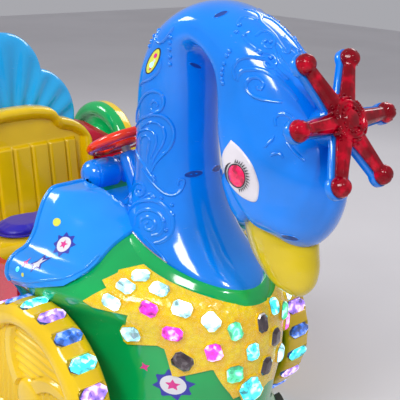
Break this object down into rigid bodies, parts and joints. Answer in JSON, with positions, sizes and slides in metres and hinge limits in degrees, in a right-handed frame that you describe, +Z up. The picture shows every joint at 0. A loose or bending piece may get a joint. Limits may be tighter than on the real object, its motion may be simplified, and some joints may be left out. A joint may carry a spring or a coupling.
{
  "type": "battery bumper car for small children",
  "caption": "Small ride-on bumper car shaped as a long-necked bird, with a hollow tub, bench seat, steering wheel and covered wheels.",
  "frame": {"origin": "on the ground under the middle of the car's box", "axes": "+X towards the bird's head, +Y to the driver's left, +Z up"},
  "size_m": [1.4214, 0.796, 1.1266],
  "materials": {
    "blue_plastic": "glossy moulded shell",
    "light_blue_plastic": "glossy moulded shell",
    "green_plastic": "glossy moulded shell",
    "yellow_plastic": "glossy moulded shell",
    "gold_plate": "hammered glitter plate",
    "red_plastic": "glossy moulded shell",
    "orange_plastic": "glossy",
    "crown_red": "translucent",
    "eye_white": "glossy",
    "lamp_glass": "lit faceted lens",
    "cushion_cover": "soft vinyl",
    "black_steel": "satin paint",
    "bare_steel": "brushed",
    "battery_case": "matt",
    "tyre_rubber": "moulded",
    "bumper_rubber": "moulded"
  },
  "bodies": {
    "car": {"chassis": "black_steel", "battery": "battery_case", "drive_motor": "bare_steel", "rear_axle": "bare_steel", "front_axle": "black_steel", "tub": "red_plastic", "front_body": "green_plastic", "breast_plates": "gold_plate", "breast_lamps": "lamp_glass", "cowl": "light_blue_plastic", "dash_roll": "blue_plastic", "neck": "blue_plastic", "head": "blue_plastic", "beak": "yellow_plastic", "crown_base": "blue_plastic", "crown": "crown_red", "eyes": "eye_white", "seat": "yellow_plastic", "seat_cushion": "cushion_cover", "tail_fan": "light_blue_plastic", "wheel_cover_front_left": "yellow_plastic", "wheel_cover_front_right": "yellow_plastic", "cover_lamps": "lamp_glass", "wheel_cover_rear_left": "yellow_plastic", "wheel_cover_rear_right": "yellow_plastic", "side_discs": "green_plastic", "side_disc_rims": "yellow_plastic", "bumper_front": "bumper_rubber", "bumper_rear": "bumper_rubber", "pedal": "black_steel"},
    "steering": {"steering_wheel": "orange_plastic", "steering_column": "bare_steel"},
    "steer_left": {"knuckle_left": "bare_steel"},
    "steer_right": {"knuckle_right": "bare_steel"},
    "track_rod": {"tie_rod": "bare_steel"},
    "wheel_front_left": {"hub_front_left": "yellow_plastic", "tyre_front_left": "tyre_rubber"},
    "wheel_front_right": {"hub_front_right": "yellow_plastic", "tyre_front_right": "tyre_rubber"},
    "wheel_rear_left": {"hub_rear_left": "yellow_plastic", "tyre_rear_left": "tyre_rubber"},
    "wheel_rear_right": {"hub_rear_right": "yellow_plastic", "tyre_rear_right": "tyre_rubber"}
  },
  "joints": [
    {"name": "steering_turn", "type": "hinge", "parent": "car", "child": "steering", "pos_m": [-0.012, 0, 0.762], "axis": [-0.5, 0, 0.866], "range_deg": [-60, 60]},
    {"name": "knuckle_left_turn", "type": "hinge", "parent": "car", "child": "steer_left", "pos_m": [0.15, 0.128, 0.12], "axis": [0, 0, 1], "range_deg": [-20, 20]},
    {"name": "knuckle_right_turn", "type": "hinge", "parent": "car", "child": "steer_right", "pos_m": [0.15, -0.128, 0.12], "axis": [0, 0, 1], "range_deg": [-20, 20]},
    {"name": "track_rod_slide", "type": "slide", "parent": "car", "child": "track_rod", "axis": [0, 1, 0], "range_m": [-0.021, 0.021]},
    {"name": "wheel_front_left_spin", "type": "hinge", "parent": "steer_left", "child": "wheel_front_left", "pos_m": [0.15, 0.18, 0.085], "axis": [0, 1, 0], "continuous": true},
    {"name": "wheel_front_right_spin", "type": "hinge", "parent": "steer_right", "child": "wheel_front_right", "pos_m": [0.15, -0.18, 0.085], "axis": [0, 1, 0], "continuous": true},
    {"name": "wheel_rear_left_spin", "type": "hinge", "parent": "car", "child": "wheel_rear_left", "pos_m": [-0.52, 0.195, 0.085], "axis": [0, 1, 0], "continuous": true},
    {"name": "wheel_rear_right_spin", "type": "hinge", "parent": "car", "child": "wheel_rear_right", "pos_m": [-0.52, -0.195, 0.085], "axis": [0, 1, 0], "continuous": true}
  ],
  "couplings": [
    {"joint": "knuckle_left_turn", "follows": "steering_turn", "ratio": 0.3333},
    {"joint": "knuckle_right_turn", "follows": "steering_turn", "ratio": 0.3333},
    {"joint": "track_rod_slide", "follows": "steering_turn", "m_per_rad": -0.02}
  ]
}
